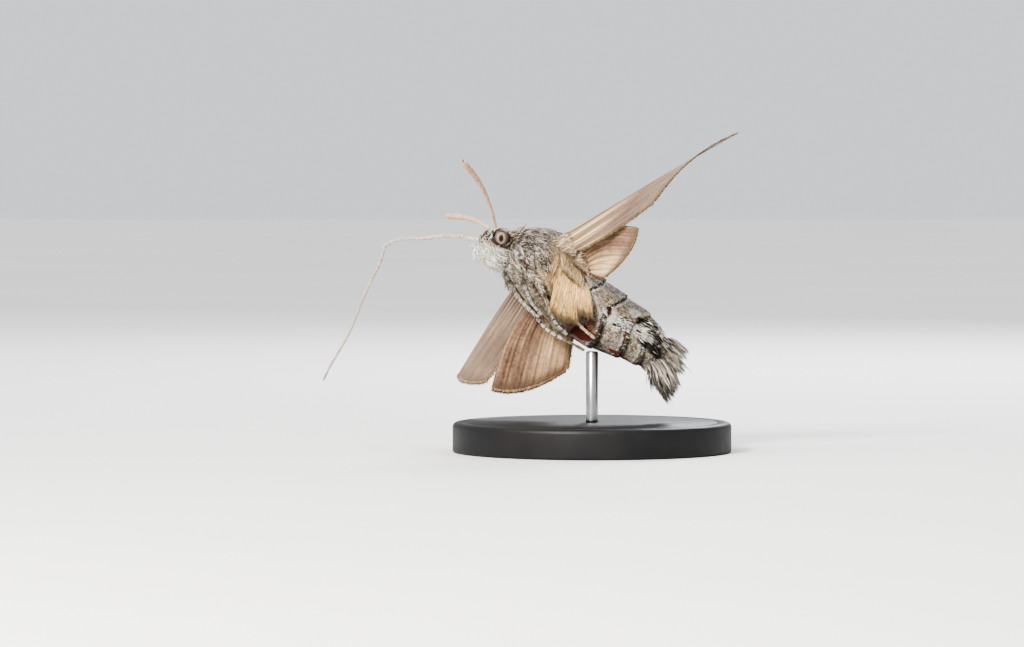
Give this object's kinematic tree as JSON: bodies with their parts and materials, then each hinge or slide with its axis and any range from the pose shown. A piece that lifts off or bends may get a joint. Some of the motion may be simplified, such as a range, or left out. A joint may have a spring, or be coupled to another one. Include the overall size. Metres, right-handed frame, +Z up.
{
  "type": "hummingbird hawk moth model",
  "caption": "Life-size hovering hummingbird hawk moth with long proboscis, wings spread, on a low round display stand.",
  "frame": {"origin": "centre of the stand base's underside", "axes": "+Z up, the moth's head towards -X, its left flank towards -Y"},
  "size_m": [0.0445, 0.0348, 0.0344],
  "materials": {
    "fur": "matte, flecked grey-beige scales",
    "pale_fur": "matte, white down",
    "cream_fur": "matte, long cream hair",
    "tail_fur": "matte, dark grey with pale tips",
    "eye": "satin, taupe with a dark spot",
    "antenna": "satin, pinkish tan",
    "proboscis": "satin, pale brown",
    "forewing": "matte, tan-brown scales",
    "hindwing": "matte, orange-tan scales",
    "leg": "matte, banded scales",
    "stand": "satin black",
    "rod": "satin steel"
  },
  "bodies": {
    "root": {"head": "fur", "thorax": "fur", "abdomen_1": "fur", "abdomen_2": "fur", "abdomen_3": "fur", "abdomen_4": "fur", "abdomen_5": "fur", "abdomen_6": "fur", "palp_left": "pale_fur", "palp_right": "pale_fur", "eye_left": "eye", "eye_right": "eye", "antenna_left": "antenna", "antenna_right": "antenna", "proboscis_base": "proboscis", "proboscis_shaft": "proboscis", "proboscis_tip": "proboscis", "forewing_left": "forewing", "forewing_right": "forewing", "hindwing_left": "hindwing", "hindwing_right": "hindwing", "leg_fore_left": "leg", "leg_mid_left": "leg", "leg_hind_left": "leg", "leg_fore_right": "leg", "leg_mid_right": "leg", "leg_hind_right": "leg", "flank_tuft_left": "cream_fur", "flank_tuft_right": "cream_fur", "tail_fan": "tail_fur", "stand_base": "stand", "stand_rod": "rod"}
  },
  "joints": []
}
